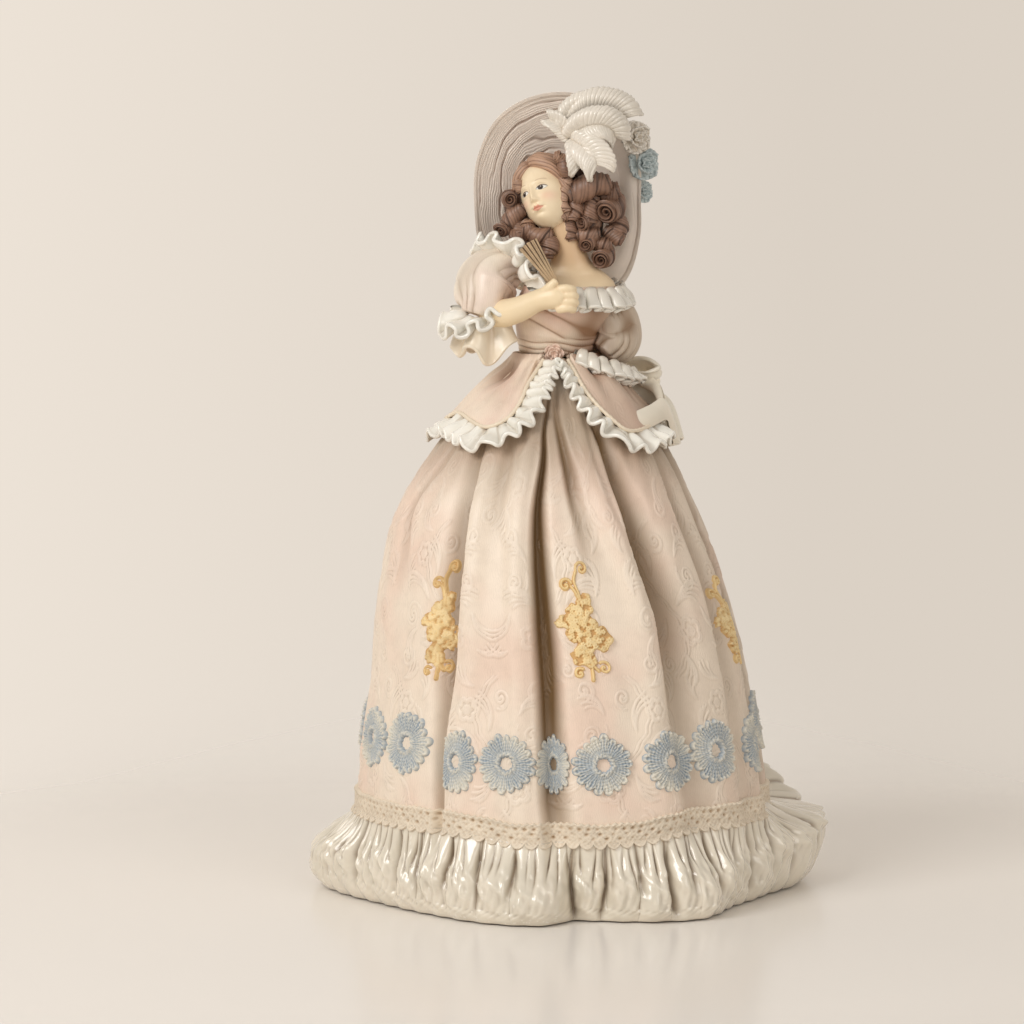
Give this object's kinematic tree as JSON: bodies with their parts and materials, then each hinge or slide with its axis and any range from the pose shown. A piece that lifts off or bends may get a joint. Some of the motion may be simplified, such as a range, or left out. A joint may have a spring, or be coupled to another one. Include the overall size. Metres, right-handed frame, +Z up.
{
  "type": "lady figurine",
  "caption": "Standing painted figurine of a lady in a wide crinoline dress with a large hat and closed fan, hollow skirt closed by a felted base plate.",
  "frame": {"origin": "on the felt underside that it stands on, below the middle of the skirt's base", "axes": "+Z up, the lady's front faces -Y, +X is to the viewer's right as the front is seen"},
  "size_m": [0.2111, 0.1877, 0.3214],
  "materials": {
    "felt": "matt felt",
    "board": "bare fibreboard",
    "bisque": "matt hand-painted cast resin",
    "pearl": "cast resin with a pearl glaze",
    "lace": "matt cream cast resin with the relief of crocheted lace",
    "gold": "satin gold-painted relief",
    "blue": "matt pale blue painted relief",
    "skin": "satin ivory painted resin",
    "rose": "satin pink painted resin",
    "hair": "satin brown painted resin",
    "fan": "satin brown painted resin",
    "sleeve": "satin cream and rose painted resin",
    "ribbon": "pearl-glazed cream resin",
    "straw": "matt painted resin with the relief of woven straw",
    "plume": "pearl-glazed resin"
  },
  "bodies": {
    "root": {"felt_pad": "felt", "base_plate": "board", "skirt_shell": "bisque", "hem_ruffle": "pearl", "lace_band": "lace", "gold_applique_1": "gold", "gold_applique_2": "gold", "gold_applique_3": "gold", "gold_applique_4": "gold", "gold_applique_5": "gold", "gold_applique_6": "gold", "daisy_01": "blue", "daisy_02": "blue", "daisy_03": "blue", "daisy_04": "blue", "daisy_05": "blue", "daisy_06": "blue", "daisy_07": "blue", "daisy_08": "blue", "daisy_09": "blue", "daisy_10": "blue", "daisy_11": "blue", "daisy_12": "blue", "daisy_13": "blue", "daisy_14": "blue", "daisy_15": "blue", "daisy_16": "blue", "daisy_17": "blue", "daisy_18": "blue", "bust": "skin", "bodice": "bisque", "overskirt": "bisque", "waist_rosette": "rose", "overskirt_piping": "lace", "overskirt_ruffle": "pearl", "head": "skin", "hair_crown": "hair", "forearm_right": "skin", "fan": "fan", "curls_right": "hair", "curls_left": "hair", "sleeve_right": "sleeve", "sleeve_left": "sleeve", "forearm_left": "skin", "neckline_ruffle": "pearl", "shoulder_ruffle": "pearl", "cuff_ruffle_right": "pearl", "flounce_right": "pearl", "cuff_ruffle_left": "pearl", "bow_loops": "ribbon", "bow_tails": "ribbon", "hat_brim": "straw", "hat_crown": "straw", "hat_ribbon": "ribbon", "plume_upper": "plume", "plume_side": "plume", "plume_small": "plume", "hat_flower_white": "plume", "hat_flower_blue": "blue", "hat_flower_bud": "blue"}
  },
  "joints": []
}
